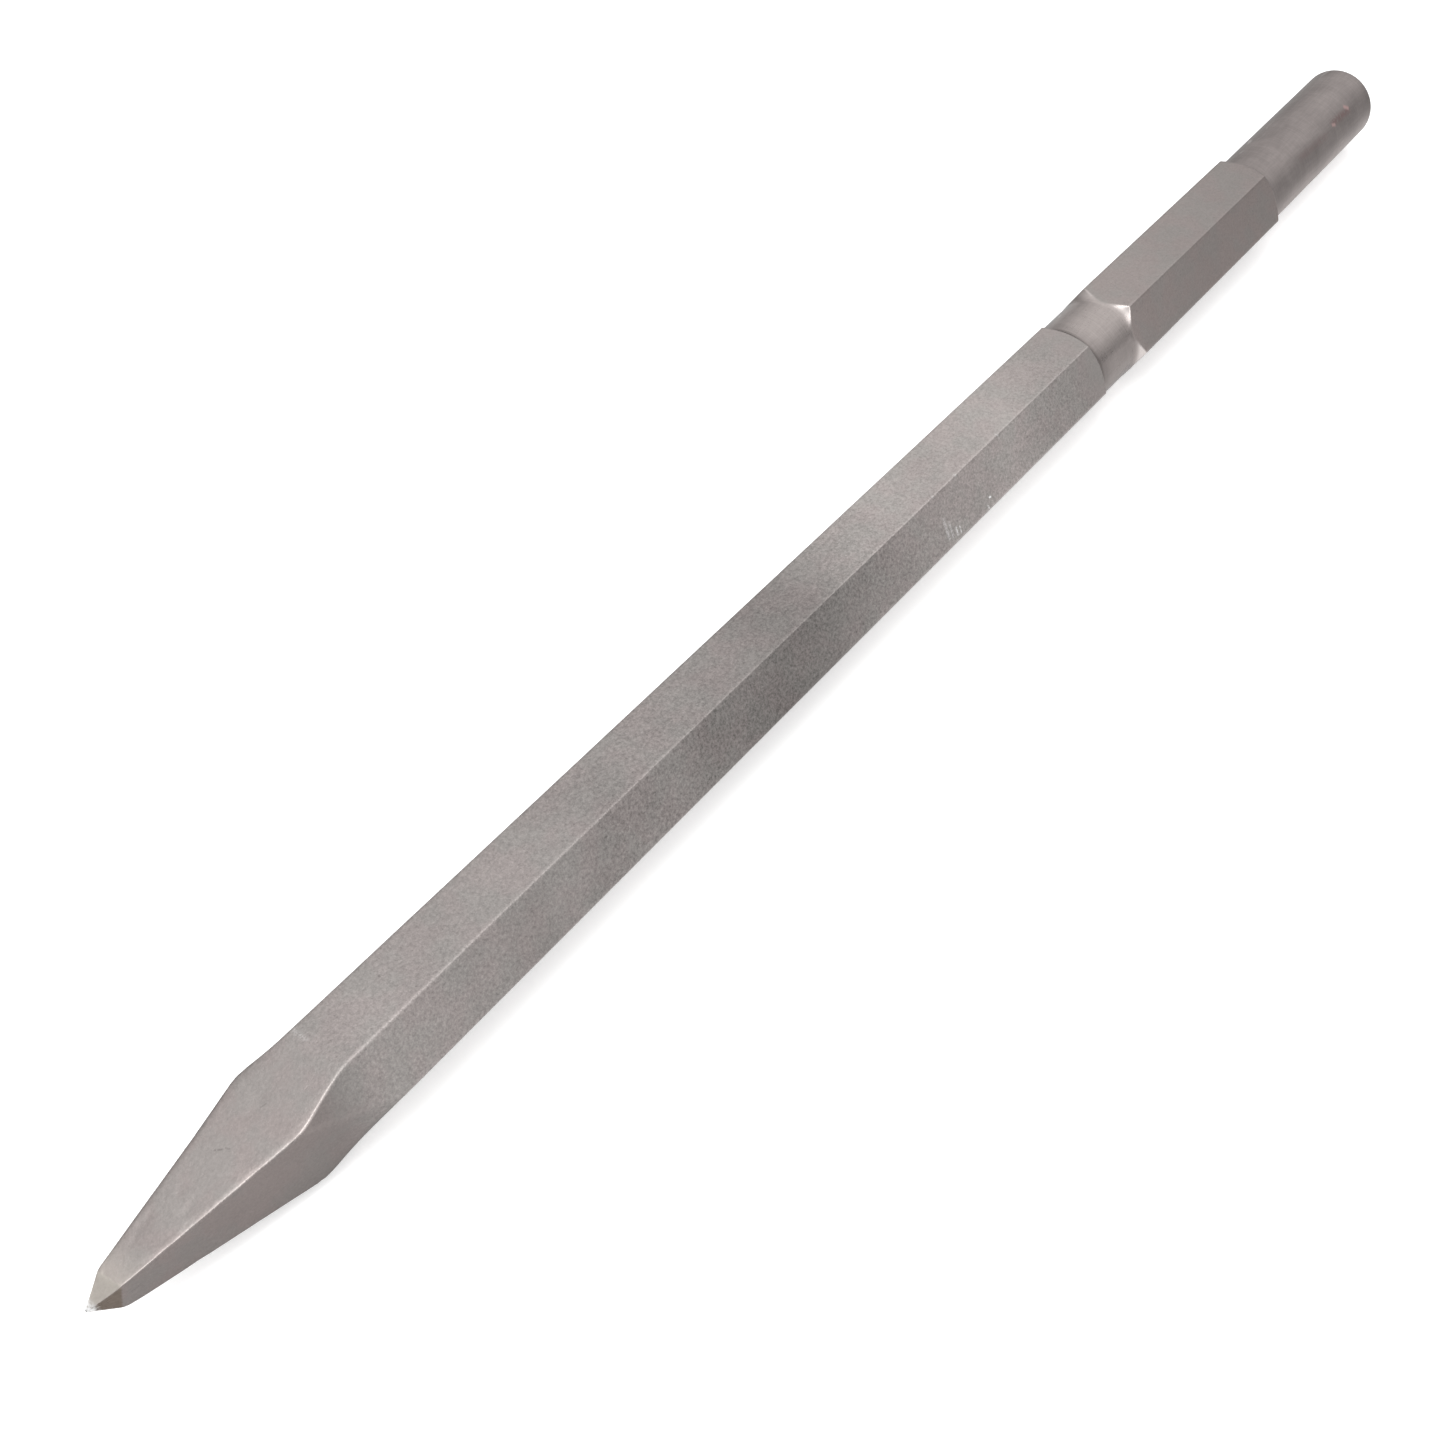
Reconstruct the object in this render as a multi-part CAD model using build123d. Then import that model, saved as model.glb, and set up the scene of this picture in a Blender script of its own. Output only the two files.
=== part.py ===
from build123d import *
import os
from math import cos, radians, tan

# Pointed chisel for an electric jackhammer: one forging from hexagonal bar. It lies on a flat
# of the hexagon along X, point towards -X, with the origin under the middle of its length.
# Lengths are in mm. Stations along the tool are counted from the tip, half sizes from the axis.

across_flats = 30.0          # hexagonal bar, and the holder's bushing that it slides in
total_length = 600.0

body_end = 399.6             # end of the long hexagon, where its flats stop at the neck
neck_length = 20.5           # the retainer's bar drops into this turned neck
shank_length = 98.4          # short hexagon between the neck and the spigot
neck_dia = 29.6
neck_radius = 6.5            # concave run-out of the neck into the short hexagon
body_chamfer = 38.0          # degrees that the cut corners lean, at the neck
shank_chamfer = 45.0         # the same beside the spigot

spigot_dia = 27.6            # round end that the striker hits
spigot_root_radius = 0.6
spigot_edge_radius = 2.5
shoulder_dia = 29.0          # outside of the flat ring around the spigot's root

tip_half = 0.4               # blunt end of the ground tip
tip_length = 6.5             # the ground tip is a short, steep pyramid
tip_half_height = 4.25
tip_half_width = 3.2

# The forged taper leaves the ground tip straight, then flares to meet the bar.
top_bend = (46.0, 10.0)      # station and half height where the flare starts
top_end = (71.8, across_flats / 2)
side_bend = (50.0, 10.8)     # station and half width
corner_radius = across_flats / 2 / cos(radians(30))
side_end = (80.6, corner_radius)

axis_height = across_flats / 2
clearance = 0.7
turning_radius = corner_radius + clearance   # outside the corners, where nothing is turned away
overshoot = 2.0                              # how far the envelopes reach past the bar
envelope_depth = 2 * across_flats


def station(from_tip, half):
    """A point of an outline, from its distance to the tip and to the axis."""
    return (from_tip - total_length / 2, half)


def turned_outline():
    """Half section of everything that a lathe cuts, from the tip to the spigot's end."""
    flat = across_flats / 2
    above_flat = turning_radius - flat
    shank_start = body_end + neck_length
    shank_end = shank_start + shank_length
    neck, spigot, shoulder = neck_dia / 2, spigot_dia / 2, shoulder_dia / 2

    body_lean = tan(radians(body_chamfer))
    shank_lean = tan(radians(shank_chamfer))
    shoulder_at = shank_end + (flat - shoulder) * shank_lean

    # The run-out passes the flats' own distance from the axis just where the flats begin.
    def runout(radius):
        rise = radius - neck
        return (2 * neck_radius * rise - rise**2) ** 0.5

    runout_start = shank_start - runout(flat)
    runout_mid = (flat + turning_radius) / 2
    runout_end = runout_start + runout(turning_radius)

    with BuildLine(Plane.XZ) as outline:
        Polyline(
            station(0, 0),
            station(0, turning_radius),
            station(body_end - above_flat * body_lean, turning_radius),
            station(body_end + (flat - neck) * body_lean, neck),
            station(runout_start, neck),
        )
        ThreePointArc(
            station(runout_start, neck),
            station(runout_start + runout(runout_mid), runout_mid),
            station(runout_end, turning_radius),
        )
        Polyline(
            station(runout_end, turning_radius),
            station(shank_end - above_flat * shank_lean, turning_radius),
            station(shoulder_at, shoulder),
            station(shoulder_at, spigot + spigot_root_radius),
        )
        TangentArc(
            station(shoulder_at, spigot + spigot_root_radius),
            station(shoulder_at + spigot_root_radius, spigot),
            tangent=(0, -1),
        )
        Line(
            station(shoulder_at + spigot_root_radius, spigot),
            station(total_length - spigot_edge_radius, spigot),
        )
        TangentArc(
            station(total_length - spigot_edge_radius, spigot),
            station(total_length, spigot - spigot_edge_radius),
            tangent=(1, 0),
        )
        Polyline(
            station(total_length, spigot - spigot_edge_radius),
            station(total_length, 0),
            station(0, 0),
        )
    return outline.line


def taper_envelope(plane, base_half, bend, end):
    """Everything between one pair of the point's facets, which the plane shows edge on."""
    beyond = turning_radius + overshoot
    facet = Vector(*bend) - Vector(tip_length, base_half)
    with BuildSketch(plane) as section:
        with BuildLine():
            Polyline(
                station(0, 0),
                station(0, tip_half),
                station(tip_length, base_half),
                station(*bend),
            )
            flare = TangentArc(station(*bend), station(*end), tangent=(facet.X, facet.Y))
            slope = flare % 1
            run = (beyond - end[1]) / slope.Y * slope.X
            Polyline(
                station(*end),
                station(end[0] + run, beyond),
                station(total_length + overshoot, beyond),
                station(total_length + overshoot, 0),
                station(0, 0),
            )
        make_face()
        mirror(about=Plane.XZ)
    return extrude(section.sketch, amount=envelope_depth, both=True)


def hexagonal_bar():
    section = Plane.YZ * RegularPolygon(corner_radius, 6)
    return extrude(section, amount=total_length / 2, both=True)


def turned_blank():
    return revolve(make_face(turned_outline().edges()), axis=Axis.X)


def point_chisel():
    forging = hexagonal_bar() & turned_blank()
    forging = forging & taper_envelope(Plane.XZ, tip_half_height, top_bend, top_end)
    forging = forging & taper_envelope(Plane.XY, tip_half_width, side_bend, side_end)
    return Pos(0, 0, axis_height) * forging


os.makedirs("parts", exist_ok=True)
chisel = point_chisel()
export_step(chisel, "parts/point_chisel.step")
print("point_chisel", round(chisel.volume / 1000, 1), "cm3", chisel.bounding_box())
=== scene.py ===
import math
from types import SimpleNamespace

import bmesh
import bpy
from mathutils import Matrix, Vector


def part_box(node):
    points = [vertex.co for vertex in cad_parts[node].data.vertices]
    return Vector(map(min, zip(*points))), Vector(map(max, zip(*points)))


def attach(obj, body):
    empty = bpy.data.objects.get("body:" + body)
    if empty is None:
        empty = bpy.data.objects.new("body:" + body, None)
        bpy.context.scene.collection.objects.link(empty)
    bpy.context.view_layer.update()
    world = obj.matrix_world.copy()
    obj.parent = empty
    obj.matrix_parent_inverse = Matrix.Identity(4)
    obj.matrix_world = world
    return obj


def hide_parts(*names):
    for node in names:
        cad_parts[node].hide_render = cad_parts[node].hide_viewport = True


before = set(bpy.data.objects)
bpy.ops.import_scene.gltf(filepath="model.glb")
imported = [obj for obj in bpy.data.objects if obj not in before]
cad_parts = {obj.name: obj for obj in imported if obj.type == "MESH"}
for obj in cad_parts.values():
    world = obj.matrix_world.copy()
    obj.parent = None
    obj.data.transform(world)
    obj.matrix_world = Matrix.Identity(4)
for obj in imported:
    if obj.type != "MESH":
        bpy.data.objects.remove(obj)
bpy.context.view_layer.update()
low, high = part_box("point_chisel")
tip = Vector((low.x, 0.0, (low.z + high.z) / 2))   # on the bar's axis
mm = 0.001
print("frame loaded, tip at", tuple(round(v, 4) for v in tip))


class Wire:
    # one output socket, so that maths on it reads as maths
    def __init__(self, graph, socket):
        self.graph = graph
        self.socket = socket

    def __getitem__(self, name):
        return Wire(self.graph, self.socket.node.outputs[name])

    def math(self, operation, *others):
        parts = dict(enumerate((self, *others)))
        return self.graph.add("ShaderNodeMath", {"operation": operation}, parts)

    def swapped(self, operation, other):
        return self.graph.add("ShaderNodeMath", {"operation": operation}, {0: other, 1: self})

    def __add__(self, other):
        return self.math("ADD", other)

    def __radd__(self, other):
        return self.swapped("ADD", other)

    def __sub__(self, other):
        return self.math("SUBTRACT", other)

    def __rsub__(self, other):
        return self.swapped("SUBTRACT", other)

    def __mul__(self, other):
        return self.math("MULTIPLY", other)

    def __rmul__(self, other):
        return self.swapped("MULTIPLY", other)

    def __truediv__(self, other):
        return self.math("DIVIDE", other)

    def clamped(self):
        return self.graph.add("ShaderNodeClamp", {}, {"Value": self})

    def rising(self, start, end):
        # 0 before start, 1 after end, smooth between
        settings = {"interpolation_type": "SMOOTHSTEP"}
        values = {"Value": self, "From Min": start, "From Max": end}
        return self.graph.add("ShaderNodeMapRange", settings, values)

    def falling(self, start, end):
        return 1 - self.rising(start, end)


class Graph:
    def __init__(self, nodeTree):
        self.tree = nodeTree

    def add(self, kind, settings=None, values=None, output=0):
        node = self.tree.nodes.new(kind)
        for name, value in (settings or {}).items():
            if name == "stops":
                fillRamp(node.color_ramp, value)
            else:
                setattr(node, name, value)
        for name, value in (values or {}).items():
            if isinstance(value, Wire):
                self.tree.links.new(value.socket, node.inputs[name])
            else:
                node.inputs[name].default_value = value
        return Wire(self, node.outputs[output]) if node.outputs else node

    def plug(self, wire, node, name):
        self.tree.links.new(wire.socket, node.inputs[name])

    def noise(self, place, scale, detail, shift, stretch=(1, 1, 1)):
        values = {0: place, 1: stretch, 2: (shift, shift, shift)}
        moved = self.add("ShaderNodeVectorMath", {"operation": "MULTIPLY_ADD"}, values)
        values = {"Vector": moved, "Scale": scale, "Detail": detail, "Roughness": 0.5}
        return self.add("ShaderNodeTexNoise", {"noise_dimensions": "3D"}, values)

    def mixColour(self, factor, first, second, blend="MIX"):
        settings = {"data_type": "RGBA", "blend_type": blend}
        return self.add("ShaderNodeMix", settings, {0: factor, 6: first, 7: second}, 2)

    def dimmed(self, colour, tone):
        grey = self.add("ShaderNodeCombineColor", {}, {"Red": tone, "Green": tone, "Blue": tone})
        return self.mixColour(1.0, colour, grey, "MULTIPLY")


def fillRamp(ramp, stops):
    while len(ramp.elements) < len(stops):
        ramp.elements.new(1.0)
    for element, (place, tone) in zip(ramp.elements, stops):
        element.position = place
        element.color = (tone, tone, tone, 1.0)


# All lengths of the chisel are in mm; stations are counted from the tip.
chisel = {
    "totalLength": (high.x - low.x) / mm,
    "acrossFlats": (high.z - low.z) / mm,
    "bodyEnd": 399.6,
    "neckEnd": 420.1,          # the short hexagon's flats start here
    "shankEnd": 518.5,
    "neckRadius": 14.8,
    "runOut": 6.5,             # concave radius of the neck beside the short hexagon
    "bodyLean": 38.0,          # degrees, corners cut at the neck
    "shankLean": 45.0,         # degrees, corners cut beside the spigot
    "shoulderRadius": 14.5,
    "spigotRadius": 13.8,
    "spigotRoot": 0.6,
    "spigotEdge": 2.5,
    "clear": 18.0,             # outside the corners, where nothing is turned away
}

# The skin is rows of points around the bar, closest together where the shape turns.
skinRows = {
    "tipEnd": 12.0,            # stations where the spacing changes
    "pointEnd": 86.0,
    "besideCut": 6.0,          # and the length kept fine beside a cut corner
    "tip": 0.35,               # spacing in mm
    "point": 0.62,
    "bar": 1.5,
    "cut": 0.25,
    "neck": 0.6,
    "shoulder": 0.12,
    "face": 1.1,
    "runOutRows": 22,          # rows in each rounded part
    "rootRows": 5,
    "edgeRows": 10,
    "pointsAround": 132,       # a multiple of 12, so that some fall on each edge
}


def turnedOutline(size, skin):
    # each row of the skin as its station and the radius that it is turned to
    flat = size["acrossFlats"] / 2
    clear, neck, spigot = size["clear"], size["neckRadius"], size["spigotRadius"]
    bodyLean = math.tan(math.radians(size["bodyLean"]))
    shankLean = math.tan(math.radians(size["shankLean"]))
    shoulderAt = size["shankEnd"] + (flat - size["shoulderRadius"]) * shankLean
    rows = [(0.0, 0.0), (0.0, clear)]

    def run(station, radius, step):
        fromStation, fromRadius = rows[-1]
        length = math.hypot(station - fromStation, radius - fromRadius)
        count = max(1, round(length / step))
        for i in range(1, count + 1):
            t = i / count
            between = (fromStation + (station - fromStation) * t, fromRadius + (radius - fromRadius) * t)
            rows.append(between)

    def arc(centre, radius, start, end, count):
        for i in range(1, count + 1):
            angle = math.radians(start + (end - start) * i / count)
            rows.append((centre[0] + radius * math.cos(angle), centre[1] + radius * math.sin(angle)))

    run(skin["tipEnd"], clear, skin["tip"])
    run(skin["pointEnd"], clear, skin["point"])
    run(size["bodyEnd"] - skin["besideCut"], clear, skin["bar"])
    run(size["bodyEnd"] - (clear - flat) * bodyLean, clear, skin["cut"])
    run(size["bodyEnd"] + (flat - neck) * bodyLean, neck, skin["cut"])
    riseToFlat = flat - neck
    runOutStart = size["neckEnd"] - math.sqrt(2 * size["runOut"] * riseToFlat - riseToFlat**2)
    run(runOutStart, neck, skin["neck"])
    turn = math.degrees(math.acos(1 - (clear - neck) / size["runOut"]))
    arc((runOutStart, neck + size["runOut"]), size["runOut"], -90, -90 + turn, skin["runOutRows"])
    run(size["neckEnd"] + skin["besideCut"], clear, skin["neck"])
    run(size["shankEnd"] - skin["besideCut"], clear, skin["bar"])
    run(size["shankEnd"] - (clear - flat) * shankLean, clear, skin["cut"])
    run(shoulderAt, size["shoulderRadius"], skin["cut"])
    run(shoulderAt, spigot + size["spigotRoot"], skin["shoulder"])
    root = (shoulderAt + size["spigotRoot"], spigot + size["spigotRoot"])
    arc(root, size["spigotRoot"], 180, 270, skin["rootRows"])
    edge = (size["totalLength"] - size["spigotEdge"], spigot - size["spigotEdge"])
    run(edge[0], spigot, skin["bar"])
    arc(edge, size["spigotEdge"], 90, 0, skin["edgeRows"])
    run(size["totalLength"], 0.0, skin["face"])
    return rows


# How the forging departs from plain planes, in mm; each is an input of the tree by this name.
forging = {
    "Edge rounding": 0.6,
    "Crease rounding": 0.8,     # where the long side facets run into the slanted flats
    "Turned rounding": 0.28,
    "Ground rounding": 0.12,
    "Flare rounding": 1.2,      # where the long facets reach the bar's flats
    "Tip half": 0.3,
    "Tip height slope": 0.53,   # the ground tip is a small, steep pyramid, a little askew
    "Tip width slope": 0.43,
    "Tip height skew": -0.055,
    "Tip width skew": 0.075,
    "Facet height": 3.305,      # half height of the long facets, carried on to the tip
    "Height slope": 0.1456,
    "Height flare start": 46.0,
    "Height flare": 270.0,      # radius that lifts them to the bar's flats
    "Facet width": 2.064,
    "Width slope": 0.1747,
    "Width flare start": 50.0,
    "Width flare": 397.0,
    "Far side": 0.7,            # the far side of the point was drawn out a little wider
    "Swell": 0.85,              # the slanted flats bulge where the point was struck out
    "Swell station": 56.0,
    "Swell length": 7.5,
    "Lean across": 0.75,        # the ground tip ends a little off the bar's axis
    "Lean up": 0.45,
    "Lean length": 12.0,
    "Spigot slope": 0.0086,     # the spigot points a little to the far side
    "Dents": 0.16,
    "Waves": 0.05,
    "Tip chips": 0.35,
}


roundingGuard = 0.0001      # keeps a whole number from being rounded down to the one before
facingGuard = 0.03          # keeps a surface that faces away from being reached


def addInputs(tree, names, kind):
    return {
        name: tree.interface.new_socket(name=name, in_out="INPUT", socket_type=kind).identifier
        for name in names
    }


def outlineSheet(g, given):
    # one row of points for each point of the outline, one column for each step around it
    rowCount = g.add("GeometryNodeAttributeDomainSize", {"component": "MESH"}, {0: given["Outline"]})
    columns = given["Points around"] + 1
    counts = {"Vertices X": rowCount["Point Count"], "Vertices Y": columns}
    sheet = g.add("GeometryNodeMeshGrid", {}, counts)
    index = g.add("GeometryNodeInputIndex")
    row = (index / columns + roundingGuard).math("FLOOR")
    outlinePoint = g.add(
        "GeometryNodeSampleIndex",
        {"data_type": "FLOAT_VECTOR", "domain": "POINT"},
        {"Geometry": given["Outline"], "Value": g.add("GeometryNodeInputPosition"), "Index": row},
    )
    outline = g.add("ShaderNodeSeparateXYZ", {}, {0: outlinePoint})
    return sheet, index - row * columns, outline["X"], outline["Z"]


def packedAngle(step):
    # angle around the axis from the near corner, packed towards the hexagon's corners
    sector = (step + roundingGuard).math("FLOOR")
    across = 2 * (step - sector) - 1
    evenShare = 0.3
    packed = evenShare * across + (1 - evenShare) * (across * (math.pi / 2)).math("SINE")
    return (sector + 0.5 + 0.5 * packed) * math.radians(60)


def facetSizes(given, station, sideSign):
    # half heights and half widths of the long facets and of the ground tip
    def drawnOut(kind, side):
        past = (station - given[side + " flare start"]).math("MAXIMUM", 0)
        flare = past * past / (2 * given[side + " flare"])
        return given["Facet " + kind] + given[side + " slope"] * station + flare

    onFarSide = 0.5 - 0.5 * sideSign
    return SimpleNamespace(
        height=drawnOut("height", "Height").math("SMOOTH_MIN", given["Flat"], given["Flare rounding"]),
        width=drawnOut("width", "Width") + given["Far side"] * onFarSide * station.falling(5, 45),
        groundHeight=given["Tip half"] + given["Tip height slope"] * station,
        groundWidth=given["Tip half"] + given["Tip width slope"] * station,
    )


def followEdges(angle, flat, half):
    # columns on the slanted corners are turned to run along the point's edges, as if all four
    # quarters were the first
    fold = angle.math("PINGPONG", math.pi / 2)
    slantWidth = (flat - half.height * 0.5) / math.cos(math.radians(30))
    edgeHeight = half.height.math("MINIMUM", half.groundHeight)
    edgeWidth = half.width.math("MINIMUM", slantWidth).math("MINIMUM", half.groundWidth)
    edgeAngle = edgeHeight.math("ARCTAN2", edgeWidth)
    corner = math.radians(60)
    belowCorner = (fold / corner).math("MINIMUM", 1)
    aboveCorner = ((fold - corner) / (math.pi / 2 - corner)).math("MAXIMUM", 0)
    return edgeAngle * belowCorner + (math.pi / 2 - edgeAngle) * aboveCorner


def distances(given, half, turn, slantFlat, skew):
    # from the axis to each surface, in this direction
    cosine, sine = turn.math("COSINE"), turn.math("SINE")
    topSkewed = sine - given["Tip height skew"] * cosine * skew
    sideSkewed = cosine + given["Tip width skew"] * sine * skew
    return SimpleNamespace(
        top=half.height / sine.math("MAXIMUM", facingGuard),
        slant=slantFlat / (turn - math.radians(30)).math("COSINE"),
        nextSlant=slantFlat / (turn + math.radians(30)).math("COSINE").math("MAXIMUM", 0.05),
        side=half.width / cosine.math("MAXIMUM", facingGuard),
        groundTop=half.groundHeight / topSkewed.math("MAXIMUM", facingGuard),
        groundSide=half.groundWidth / sideSkewed.math("MAXIMUM", facingGuard),
    )


def forgeTree(departures):
    tree = bpy.data.node_groups.new("forgeChisel", "GeometryNodeTree")
    sockets = addInputs(tree, ["Outline"], "NodeSocketGeometry")
    sockets.update(addInputs(tree, ["Flat", "Axis height", "Shoulder", *departures], "NodeSocketFloat"))
    sockets.update(addInputs(tree, ["Points around"], "NodeSocketInt"))
    sockets.update(addInputs(tree, ["Steel"], "NodeSocketMaterial"))
    tree.interface.new_socket(name="Skin", in_out="OUTPUT", socket_type="NodeSocketGeometry")
    g = Graph(tree)
    given = g.add("NodeGroupInput")

    sheet, column, station, turned = outlineSheet(g, given)
    angle = packedAngle(column / given["Points around"] * 6)
    sideSign = angle.math("COSINE").math("SIGN")   # 1 on the near side
    upSign = angle.math("SINE").math("SIGN")
    half = facetSizes(given, station, sideSign)
    turn = followEdges(angle, given["Flat"], half)
    nearward = turn.math("COSINE") * sideSign
    upward = turn.math("SINE") * upSign

    swellAt = (station - given["Swell station"]) / given["Swell length"]
    swell = given["Swell"] * (-1 * swellAt * swellAt).math("EXPONENT")
    to = distances(given, half, turn, given["Flat"] + swell, upSign * sideSign)
    upper = to.top.math("MINIMUM", to.groundTop)
    lower = to.slant.math("MINIMUM", to.side).math("MINIMUM", to.groundSide)
    onPoint = station.falling(60, 80)
    # gap between two surfaces that meet at an edge, small along it
    gap = (upper - lower).math("ABSOLUTE")
    outOfReach = 9 * onPoint   # the point has no side corner
    gap = gap.math("MINIMUM", (lower - to.nextSlant).math("ABSOLUTE") + outOfReach)

    # unevenness, read where the surface about is
    about = {"X": station, "Y": -1 * given["Flat"] * nearward, "Z": given["Flat"] * upward}
    place = g.add("ShaderNodeCombineXYZ", {}, about)
    dents = g.noise(place, 0.11, 2, 40).rising(0.52, 0.8) * onPoint
    chips = g.noise(place, 0.9, 2, 90) * station.falling(1.5, 7)
    wear = given["Waves"] * g.noise(place, 0.035, 1, 11) + given["Dents"] * dents

    slanted = to.slant.math("SMOOTH_MIN", to.side, given["Crease rounding"])
    drawn = to.top.math("SMOOTH_MIN", slanted, given["Edge rounding"])
    drawn = drawn.math("SMOOTH_MIN", to.nextSlant, given["Edge rounding"])
    ground = to.groundTop.math("SMOOTH_MIN", to.groundSide, given["Ground rounding"])
    chipped = ground - given["Tip chips"] * chips
    bar = (drawn - wear).math("SMOOTH_MIN", chipped, given["Ground rounding"])
    reach = bar.math("SMOOTH_MIN", turned, given["Turned rounding"]).math("MAXIMUM", 0)

    leanLeft = (1 - station / given["Lean length"]).math("MAXIMUM", 0)
    lean = leanLeft * leanLeft
    drift = given["Spigot slope"] * (station - given["Shoulder"]).math("MAXIMUM", 0)
    moved = {
        "X": station * mm + tip.x,
        "Y": (given["Lean across"] * lean + drift - reach * nearward) * mm,
        "Z": (given["Lean up"] * lean + given["Axis height"] + reach * upward) * mm,
    }
    moved = g.add("ShaderNodeCombineXYZ", {}, moved)
    skin = g.add("GeometryNodeSetPosition", {}, {"Geometry": sheet, "Position": moved})

    pastTurned = turned - upper.math("MINIMUM", lower).math("MINIMUM", to.nextSlant)
    notTurned = pastTurned.rising(-0.1, 0.1)
    masks = {
        "edgeMask": gap.falling(0, 0.5) * notTurned,
        "nearEdgeMask": gap.falling(0, 3.2) * notTurned,
        "turnedEdgeMask": pastTurned.math("ABSOLUTE").falling(0, 0.35),
        "turnedMask": 1 - notTurned,
        "groundMask": (drawn - ground).rising(-0.04, 0.04),
    }
    for name, value in masks.items():
        values = {"Geometry": skin, "Name": name, "Value": value}
        skin = g.add("GeometryNodeStoreNamedAttribute", {"data_type": "FLOAT", "domain": "POINT"}, values)
    # closes the seam, the tip and the middle of the striking face
    skin = g.add("GeometryNodeMergeByDistance", {}, {"Geometry": skin, "Distance": 0.001 * mm})
    skin = g.add("GeometryNodeRealizeInstances", {}, {"Geometry": skin})
    skin = g.add("GeometryNodeSetMaterial", {}, {"Geometry": skin, "Material": given["Steel"]})
    g.add("NodeGroupOutput", {}, {"Skin": skin})
    return tree, sockets


def makeChisel(size, skinSettings, departures, steel):
    outline = bpy.data.meshes.new("outline")
    rows = turnedOutline(size, skinSettings)
    outline.from_pydata([(station, 0, radius) for station, radius in rows], [], [])
    piece = bpy.data.objects.new("forgedChisel", outline)
    bpy.context.scene.collection.objects.link(piece)
    tree, sockets = forgeTree(departures)
    modifier = piece.modifiers.new("forge", "NODES")
    modifier.node_group = tree
    modifier[sockets["Flat"]] = size["acrossFlats"] / 2
    modifier[sockets["Axis height"]] = tip.z / mm
    modifier[sockets["Shoulder"]] = size["shankEnd"]
    modifier[sockets["Points around"]] = skinSettings["pointsAround"]
    modifier[sockets["Steel"]] = steel
    for name, value in departures.items():
        modifier[sockets[name]] = value
    evaluated = piece.evaluated_get(bpy.context.evaluated_depsgraph_get())
    piece.data = bpy.data.meshes.new_from_object(evaluated)
    piece.data.name = "forgedChisel"
    piece.modifiers.clear()

    shape = bmesh.new()
    shape.from_mesh(piece.data)
    bmesh.ops.recalc_face_normals(shape, faces=shape.faces)
    for face in shape.faces:
        face.smooth = True
    openEdges = sum(1 for edge in shape.edges if not edge.is_manifold)
    triangles = sum(len(face.verts) - 2 for face in shape.faces)
    volume = shape.calc_volume(signed=True) * 1e6
    shape.to_mesh(piece.data)
    shape.free()
    print("chisel skin:", triangles, "triangles,", openEdges, "open edges,", round(volume, 1), "cm3")
    return piece


# Finish of the steel; a colour is the share of red, green and blue light that it sends back.
steelLook = {
    "warm": (0.370, 0.332, 0.321, 1),
    "cool": (0.356, 0.334, 0.320, 1),
    "ends": (0.374, 0.325, 0.311, 1),     # the point and the short hexagon are a little redder
    "edge": (0.52, 0.478, 0.462, 1),
    "neck": (0.345, 0.309, 0.297, 1),
    "spigot": (0.262, 0.234, 0.226, 1),
    "groundTop": (0.40, 0.368, 0.335, 1),
    "groundSide": (0.125, 0.102, 0.086, 1),
    "runOut": (0.54, 0.50, 0.485, 1),     # painted highlight, a bright ring where the neck runs out
    "bare": (0.74, 0.74, 0.74, 1),        # freshly broken or scraped metal
    # dark grime for cracks and pits, also used for painted shade beside the shoulder
    "grime": (0.055, 0.046, 0.042, 1),
    "rubbed": (0.175, 0.118, 0.114, 1),   # reddish traces on the spigot
    "rubbedBare": (0.42, 0.29, 0.28, 1),
    "roughness": 0.44,
    "neckRoughness": 0.30,
    "grainSize": 0.85,                    # mm
    "grainDepth": 0.09,
    "bumpStrength": 0.7,
    "pitStrength": 0.25,
    "scuffStrength": 0.3,
    "grooveGrime": 0.35,                  # painted shade where the neck meets the long hexagon
    # painted highlight along the edges where the turning meets the flats
    "turnedEdgeShine": 0.2,
    # how light the top and the sides are along the bar: (share of the length, tone); lighter and darker along
    # the bar, with painted shade making the sides darker than the top
    "topTone": [
        (0.0, 0.71), (0.12, 0.68), (0.29, 0.69), (0.34, 0.67), (0.385, 0.58), (0.425, 0.60), (0.465, 0.92),
        (0.52, 0.95), (0.58, 0.98), (0.64, 0.88), (0.72, 0.82), (0.80, 0.76), (1.0, 0.74),
    ],
    "sideTone": [
        (0.0, 0.485), (0.105, 0.47), (0.13, 0.585), (0.17, 0.585), (0.22, 0.51), (0.28, 0.58), (0.335, 0.475),
        (0.38, 0.41), (0.425, 0.43), (0.465, 0.59), (0.52, 0.73), (0.58, 0.74), (0.64, 0.70),
        (0.71, 0.575), (0.80, 0.53), (1.0, 0.50),
    ],
}

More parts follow.
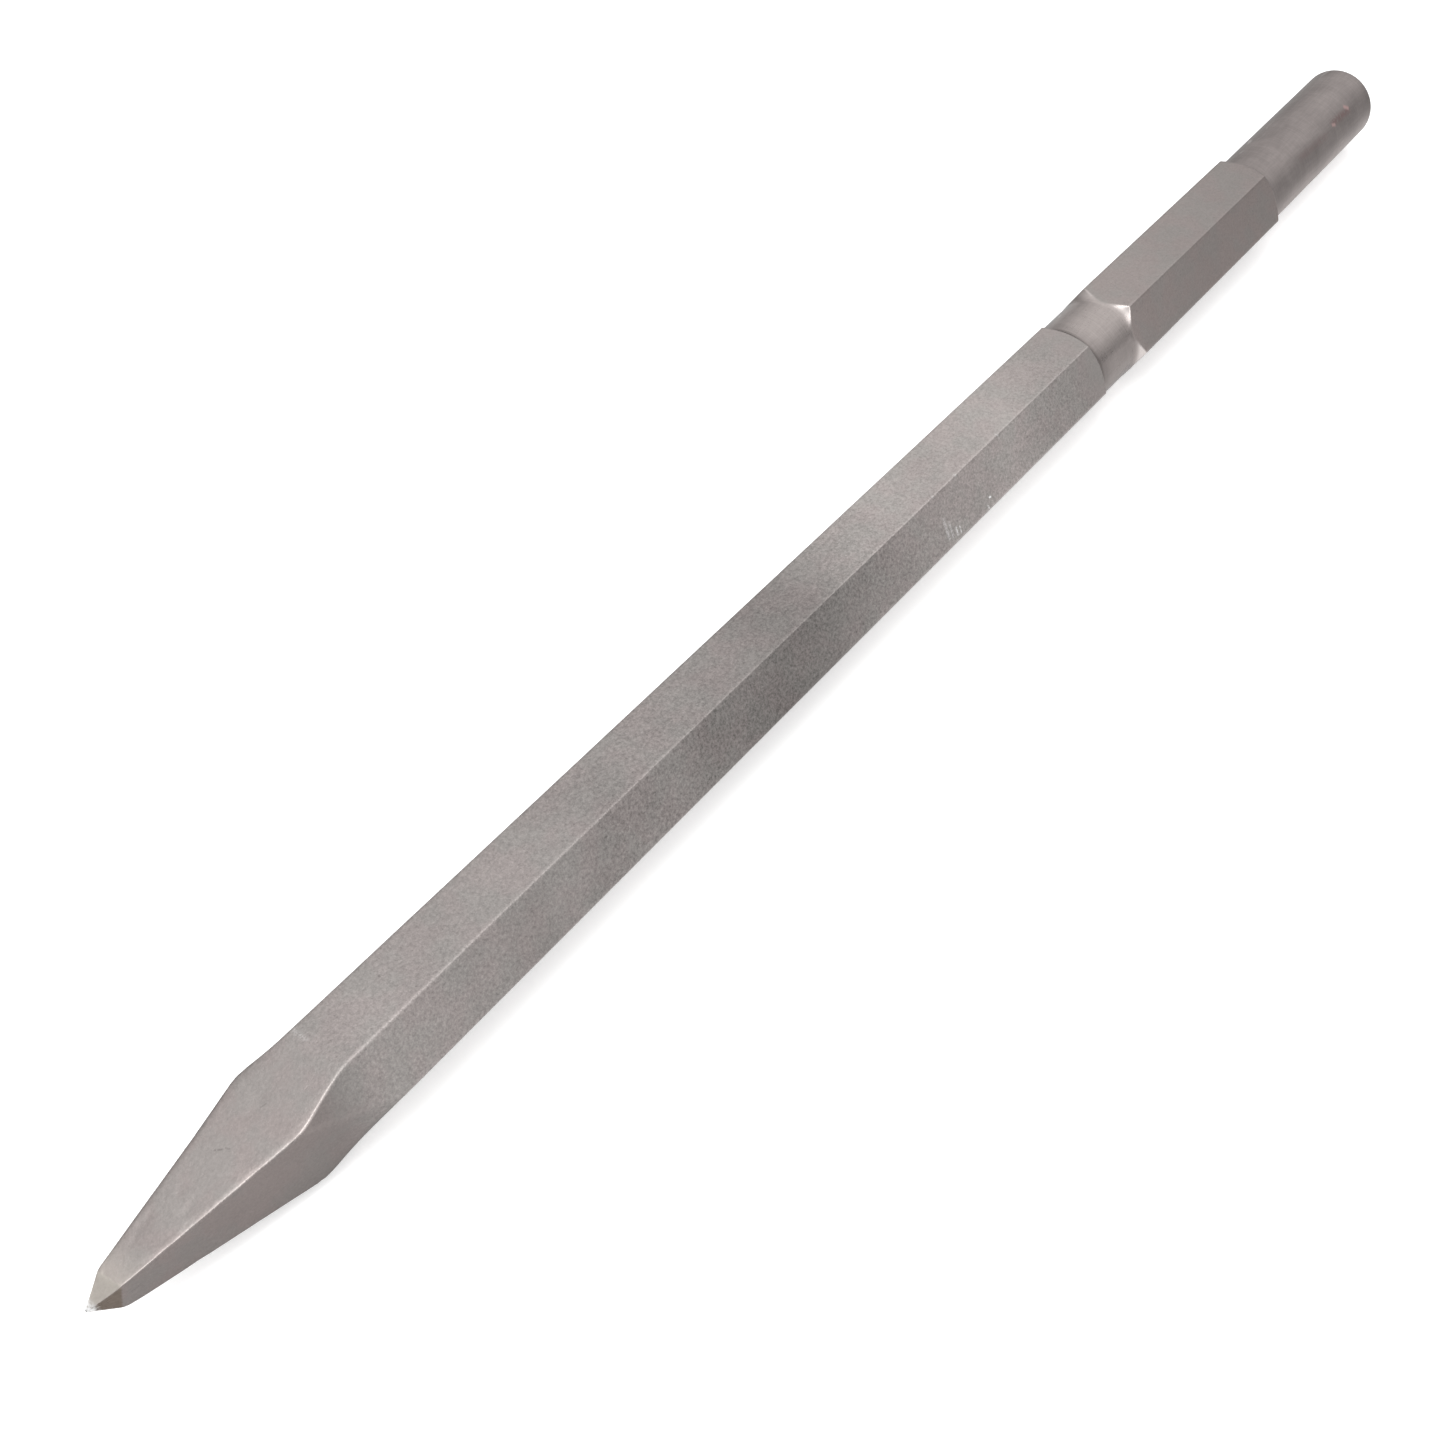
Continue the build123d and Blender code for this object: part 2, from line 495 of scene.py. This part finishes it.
# Marks on the steel: which way their face looks, in degrees round the axis from the near side,
# then mm from the tip, mm across from the face's middle, and degrees from the bar's line.
scratches = [
    {"facing": 30, "at": 309.9, "across": -2.8, "length": 8.5, "width": 1.1, "turn": 98, "strength": 0.28},
    {"facing": 30, "at": 311.5, "across": -4.0, "length": 6.5, "width": 0.8, "turn": 98, "strength": 0.25},
    {"facing": 30, "at": 313.5, "across": -5.8, "length": 3.4, "width": 0.6, "turn": 100, "strength": 0.55},
    {"facing": 30, "at": 315.1, "across": -6.2, "length": 3.0, "width": 0.5, "turn": 96, "strength": 0.5},
    {"facing": 30, "at": 331.6, "across": -5.4, "length": 1.4, "width": 0.55, "turn": 20, "strength": 1.0},
    {"facing": 30, "at": 329.4, "across": -7.6, "length": 1.6, "width": 0.55, "turn": 80, "strength": 0.5},
    {"facing": 90, "at": 72.0, "across": 6.0, "length": 6.5, "width": 1.1, "turn": 88, "strength": 0.13},
    {"facing": 60, "at": 344.7, "across": 0.0, "length": 1.6, "width": 0.5, "turn": 60, "strength": 0.4},
    {"facing": 60, "at": 322.1, "across": 0.0, "length": 1.4, "width": 0.6, "turn": 75, "strength": 0.35},
    {"facing": 60, "at": 310.1, "across": 0.0, "length": 1.3, "width": 0.5, "turn": 70, "strength": 0.35},
]
cracks = [
    {"facing": 90, "at": 41.8, "across": 1.9, "length": 2.6, "width": 0.4, "turn": 48, "strength": 0.35},
    {"facing": 90, "at": 43.3, "across": 0.3, "length": 1.8, "width": 0.4, "turn": 68, "strength": 0.25},
    {"facing": 90, "at": 55.2, "across": 0.9, "length": 2.2, "width": 0.3, "turn": 20, "strength": 0.2},
]
rubs = [
    {"facing": 44, "at": 576.0, "across": 0.0, "length": 17.0, "width": 2.3, "turn": 3, "strength": 0.75},
    {"facing": 40, "at": 553.0, "across": 0.0, "length": 26.0, "width": 2.4, "turn": 2, "strength": 0.3},
]
rubbedBare = [
    {"facing": 47, "at": 581.6, "across": 0.3, "length": 3.6, "width": 1.3, "turn": 40, "strength": 0.9},
    {"facing": 42, "at": 569.8, "across": 0.0, "length": 2.8, "width": 1.1, "turn": 20, "strength": 0.75},
]


def steelFields(g, look):
    # everything that the steel's colours and bumps are made from; places are mm from the tip
    objectPlace = g.add("ShaderNodeTexCoord", output="Object")
    toTip = {0: objectPlace, 1: (1 / mm, 1 / mm, 1 / mm), 2: (-tip.x / mm, 0, -tip.z / mm)}
    place = g.add("ShaderNodeVectorMath", {"operation": "MULTIPLY_ADD"}, toTip)
    apart = g.add("ShaderNodeSeparateXYZ", {}, {0: place})
    normal = g.add("ShaderNodeSeparateXYZ", {}, {0: g.add("ShaderNodeNewGeometry", output="Normal")})

    def mask(name):
        return g.add("ShaderNodeAttribute", {"attribute_name": name}, output="Fac")

    station = apart["X"]
    return SimpleNamespace(
        station=station,
        y=apart["Y"],
        z=apart["Z"],
        facing=normal,
        edge=mask("edgeMask"),
        nearEdge=mask("nearEdgeMask"),
        turnedEdge=mask("turnedEdgeMask"),
        turned=mask("turnedMask"),
        ground=mask("groundMask"),
        onPoint=station.falling(50, 75),
        onSpigot=station.rising(500, 510),
        sideways=normal["Z"].falling(0.7, 0.95),
        mottling=g.noise(place, 0.11, 3, 5),
        clouds=g.noise(place, 0.03, 2, 31),
        grain=g.noise(place, 1 / look["grainSize"], 3, 17),
        fine=g.noise(place, 2.1 / look["grainSize"], 2, 23),
        dimples=g.add("ShaderNodeTexVoronoi", {"feature": "SMOOTH_F1"}, {"Vector": place, "Scale": 0.9}),
        lathe=g.noise(place, 1.0, 1, 3, stretch=(2.4, 0.12, 0.12)),
        streaks=g.noise(place, 1.0, 2, 8, stretch=(0.15, 1.3, 1.3)),
        blotches=g.noise(place, 0.35, 3, 60, stretch=(0.4, 1, 1)),
    )


def markMask(f, marks):
    total = None
    for mark in marks:
        facing = math.radians(mark["facing"])
        outward = f.z * math.sin(facing) - f.y * math.cos(facing)
        across = f.z * math.cos(facing) + f.y * math.sin(facing) - mark["across"]
        along = f.station - mark["at"]
        turn = math.radians(mark["turn"])
        line = along * math.cos(turn) - across * math.sin(turn)
        beside = along * math.sin(turn) + across * math.cos(turn)
        onLine = line.math("ABSOLUTE").falling(mark["length"] * 0.3, mark["length"] * 0.5)
        onWidth = beside.math("ABSOLUTE").falling(0, mark["width"])
        stroke = onLine * onWidth * outward.rising(7.6, 8.6) * mark["strength"]
        total = stroke if total is None else total.math("MAXIMUM", stroke)
    return total


def barToneAndShade(g, f, look):
    along = (f.station / chisel["totalLength"]).clamped()
    topTone = g.add("ShaderNodeValToRGB", {"stops": look["topTone"]}, {0: along})
    sideTone = g.add("ShaderNodeValToRGB", {"stops": look["sideTone"]}, {0: along})
    # painted shade: the sides are darker than the top
    tone = topTone + (sideTone - topTone) * f.sideways
    # painted highlight along the near edge of the point's top, and darker along the far one
    paintedEdgeLight = 0.3 - 0.5 * f.y.rising(-0.5, 0.8)
    return tone * (1 + paintedEdgeLight * f.nearEdge * f.onPoint * (1 - f.sideways))


def blastedSpeckle(f):
    # coarsest halfway along the bar, and on the sides
    speckle = (f.grain - 0.5) * 0.5 + (f.fine - 0.5) * 0.35 + (f.clouds - 0.5) * 0.25
    coarse = f.station.rising(62, 78) * f.station.falling(380, 400)
    coarser = f.station.rising(120, 200) * f.station.falling(260, 330)
    coarseness = 0.65 + 0.75 * coarse + 0.6 * coarser + 0.5 * coarse * f.sideways
    coarseness = coarseness + 0.4 * f.nearEdge * f.onPoint
    return speckle * coarseness * (1 - 0.5 * f.turned)


def paintTurned(g, f, look, colour, speckle):
    # neck and spigot with painted shading, lighter on top and underneath and darker at the sides and facing
    # away, with fine lines left by the lathe
    base = g.mixColour(f.onSpigot, look["neck"], look["spigot"])
    topLight = f.facing["Z"].rising(0.35, 0.95)
    underneath = f.facing["Z"].falling(-0.3, 0.35)
    away = f.facing["Y"].rising(0.3, 0.9)
    paintedShading = 0.53 + 0.05 * f.onSpigot + (0.47 - 0.05 * f.onSpigot) * topLight
    paintedShading = paintedShading + (0.34 + 0.28 * f.onSpigot) * underneath - (0.40 - 0.24 * f.onSpigot) * away
    lines = 0.75 + 0.25 * f.lathe + 0.25 * f.streaks
    # the neck is also darkened next to the long hexagon, as painted shade
    tone = paintedShading * lines * (1 + speckle) * (1 - 0.15 * f.station.falling(400, 407))
    base = g.dimmed(base, tone * (1 + 0.5 * (f.mottling - 0.5) * f.onSpigot))
    colour = g.mixColour(f.turned, colour, base)
    radius = (f.y * f.y + f.z * f.z).math("SQRT")
    # painted highlight on the run-out, weaker on the side facing away
    runOut = f.turned * f.station.rising(414, 416.5) * f.station.falling(424, 426) * radius.rising(14.9, 15.9)
    colour = g.mixColour(runOut * (0.7 - 0.5 * f.facing["Y"].rising(0, 0.4)), colour, look["runOut"])
    # painted shade in the groove where the neck meets the long hexagon
    shadeBesideShoulder = f.station.rising(399.3, 399.8) * f.station.falling(400.2, 401.6)
    return g.mixColour(shadeBesideShoulder * f.turned * look["grooveGrime"], colour, look["grime"])


def paintGroundTip(g, f, look, colour, speckle):
    # its top is pale and its sides are browned by heat
    base = g.mixColour(f.facing["Z"].falling(0.3, 0.6), look["groundTop"], look["groundSide"])
    colour = g.mixColour(f.ground, colour, g.dimmed(base, 0.9 + 0.2 * f.streaks + speckle))
    paler = f.station.falling(6, 18) * f.facing["Z"].rising(0.6, 0.9) * 0.5
    return g.mixColour(paler, colour, look["groundTop"])


def paintMarks(g, f, look, colour, scraped, cracked):
    colour = g.mixColour(scraped, colour, look["bare"])
    colour = g.mixColour(cracked, colour, look["grime"])
    burr = f.station.falling(0.8, 2.8) * f.grain.rising(0.3, 0.5)
    colour = g.mixColour(burr, colour, look["bare"])
    pits = f.dimples.falling(0.04, 0.15) * look["pitStrength"] * (1 - f.turned)
    colour = g.mixColour(pits * (1 - 0.6 * f.onPoint), colour, look["grime"])
    colour = g.mixColour(markMask(f, rubs) * f.grain.rising(0.3, 0.5), colour, look["rubbed"])
    return g.mixColour(markMask(f, rubbedBare), colour, look["rubbedBare"])


def blastedSteel(look):
    material = bpy.data.materials.new("blastedSteel")
    material.use_nodes = True
    shader = material.node_tree.nodes["Principled BSDF"]
    shader.inputs["Metallic"].default_value = 1.0
    shader.inputs["Specular Tint"].default_value = (0.6, 0.6, 0.6, 1)
    g = Graph(material.node_tree)
    f = steelFields(g, look)
    tone = barToneAndShade(g, f, look)
    speckle = blastedSpeckle(f)
    scraped = markMask(f, scratches) * f.fine.rising(0.3, 0.6)
    cracked = markMask(f, cracks) * f.grain.rising(0.3, 0.5)

    colour = g.mixColour(f.mottling.rising(0.35, 0.65), look["warm"], look["cool"])
    ends = f.onPoint.math("MAXIMUM", f.station.rising(410, 425))
    patches = 1 - 0.6 * f.mottling.rising(0.4, 0.6)
    colour = g.mixColour(ends * patches * (0.5 + 0.5 * f.sideways), colour, look["ends"])
    colour = g.dimmed(colour, tone * (1 + speckle))
    colour = paintTurned(g, f, look, colour, speckle)
    colour = paintGroundTip(g, f, look, colour, speckle)
    # worn along the edges, broken up, hardly at all on the short hexagon
    wear = f.edge * (0.1 + 2.0 * (f.fine - 0.35)).clamped() * (1 - 0.9 * f.station.rising(423, 430))
    edgeColour = g.dimmed(look["edge"], tone * 1.1)
    colour = g.mixColour(wear, colour, edgeColour)
    # painted highlight along the turned edges
    colour = g.mixColour(f.turnedEdge * (1 - f.turned) * look["turnedEdgeShine"], colour, edgeColour)
    colour = paintMarks(g, f, look, colour, scraped, cracked)
    # a hammered striking face, and scuffs on the faces that were dragged and dropped on
    hammered = f.facing["X"].rising(0.75, 0.95) * f.onSpigot * (0.35 + 0.5 * f.mottling.rising(0.4, 0.6))
    colour = g.mixColour(hammered, colour, look["neck"])
    dragged = f.facing["Y"].rising(0.2, 0.5).math("MAXIMUM", f.facing["Z"].falling(-0.6, -0.2))
    scuffs = dragged * f.blotches.rising(0.6, 0.72)
    colour = g.mixColour(scuffs * look["scuffStrength"], colour, look["edge"])
    g.plug(colour, shader, "Base Color")

    onNeck = f.turned * (1 - f.onSpigot)
    rough = look["roughness"] + (look["neckRoughness"] - look["roughness"]) * onNeck
    rough = rough + 0.12 * (f.mottling - 0.5) + 0.1 * (f.grain - 0.5)
    rough = rough - 0.1 * wear - 0.06 * f.onPoint - 0.12 * hammered - 0.08 * scuffs
    g.plug(rough, shader, "Roughness")
    height = (f.grain + 0.45 * f.fine + 0.35 * f.dimples) * (1 - 0.6 * f.turned) * (1 - 0.45 * f.onPoint)
    height = height + 0.25 * f.lathe * f.turned - 0.3 * scraped - 1.5 * cracked
    bump = {"Strength": look["bumpStrength"], "Distance": look["grainDepth"] * mm, "Height": height}
    g.plug(g.add("ShaderNodeBump", {}, bump), shader, "Normal")
    print("steel mixed from", len(material.node_tree.nodes), "nodes")
    return material


tool = makeChisel(chisel, skinRows, forging, blastedSteel(steelLook))
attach(tool, "root")
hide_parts("point_chisel")

studio = {
    "floorSize": 8.0,
    "floorColour": (0.86, 0.86, 0.86, 1),
    "floorGlow": 0.3,          # like a light table, so that shadows stay faint
    "horizon": 0.68,           # brightness of the surroundings, low down
    "zenith": 1.4,             # and overhead
    "softbox": {"place": (-0.30, 0.0, 1.4), "size": 0.9, "power": 6.0},
    "fill": {"place": (-0.2, -1.5, 0.9), "size": 1.4, "power": 8.0},
}


def makeFloor(settings):
    half = settings["floorSize"] / 2
    floor = bpy.data.meshes.new("floor")
    corners = [(-half, -half, 0), (half, -half, 0), (half, half, 0), (-half, half, 0)]
    floor.from_pydata(corners, [], [(0, 1, 2, 3)])
    piece = bpy.data.objects.new("floor", floor)
    bpy.context.scene.collection.objects.link(piece)
    paint = bpy.data.materials.new("paleFloor")
    paint.use_nodes = True
    shader = paint.node_tree.nodes["Principled BSDF"]
    shader.inputs["Base Color"].default_value = settings["floorColour"]
    shader.inputs["Roughness"].default_value = 1.0
    shader.inputs["Specular IOR Level"].default_value = 0.1
    shader.inputs["Emission Color"].default_value = (1, 1, 1, 1)
    shader.inputs["Emission Strength"].default_value = settings["floorGlow"]
    floor.materials.append(paint)


def makeSurroundings(settings):
    world = bpy.data.worlds.new("studio")
    world.use_nodes = True
    g = Graph(world.node_tree)
    direction = g.add("ShaderNodeTexCoord", output="Generated")
    height = g.add("ShaderNodeSeparateXYZ", {}, {0: direction})["Z"]
    span = settings["zenith"] - settings["horizon"]
    background = world.node_tree.nodes["Background"]
    background.inputs["Color"].default_value = (1, 1, 1, 1)
    g.plug(settings["horizon"] + span * height.rising(0.0, 0.85), background, "Strength")
    bpy.context.scene.world = world


def makeLamp(name, settings):
    data = bpy.data.lights.new(name, "AREA")
    data.shape = "DISK"
    data.size = settings["size"]
    data.energy = settings["power"]
    lamp = bpy.data.objects.new(name, data)
    bpy.context.scene.collection.objects.link(lamp)
    place = Vector(settings["place"])
    towardsTool = (-place).to_track_quat("-Z", "Y").to_matrix().to_4x4()
    lamp.matrix_world = Matrix.Translation(place) @ towardsTool


view = {
    "fromTip": (-0.01, -0.2118, 0.3595),   # the camera, from the tip, in metres
    "aimFromTip": (0.2143, -0.005, 0.0),
    "roll": 4.742,                         # degrees, clockwise
    "lens": 42.35,
}


def makeCamera(settings):
    data = bpy.data.cameras.new("camera")
    data.lens = settings["lens"]
    data.sensor_width = 36
    data.clip_start = 0.01
    camera = bpy.data.objects.new("camera", data)
    bpy.context.scene.collection.objects.link(camera)
    place = tip + Vector(settings["fromTip"])
    aim = tip + Vector(settings["aimFromTip"])
    turn = (aim - place).to_track_quat("-Z", "Y").to_matrix().to_4x4()
    roll = Matrix.Rotation(math.radians(-settings["roll"]), 4, "Z")
    camera.matrix_world = Matrix.Translation(place) @ turn @ roll
    bpy.context.scene.camera = camera


makeFloor(studio)
makeLamp("softbox", studio["softbox"])
makeLamp("fill", studio["fill"])
makeSurroundings(studio)
bpy.context.scene.view_settings.view_transform = "Standard"
print("studio lit")
makeCamera(view)
print("camera", [round(v, 3) for v in bpy.context.scene.camera.matrix_world.translation])
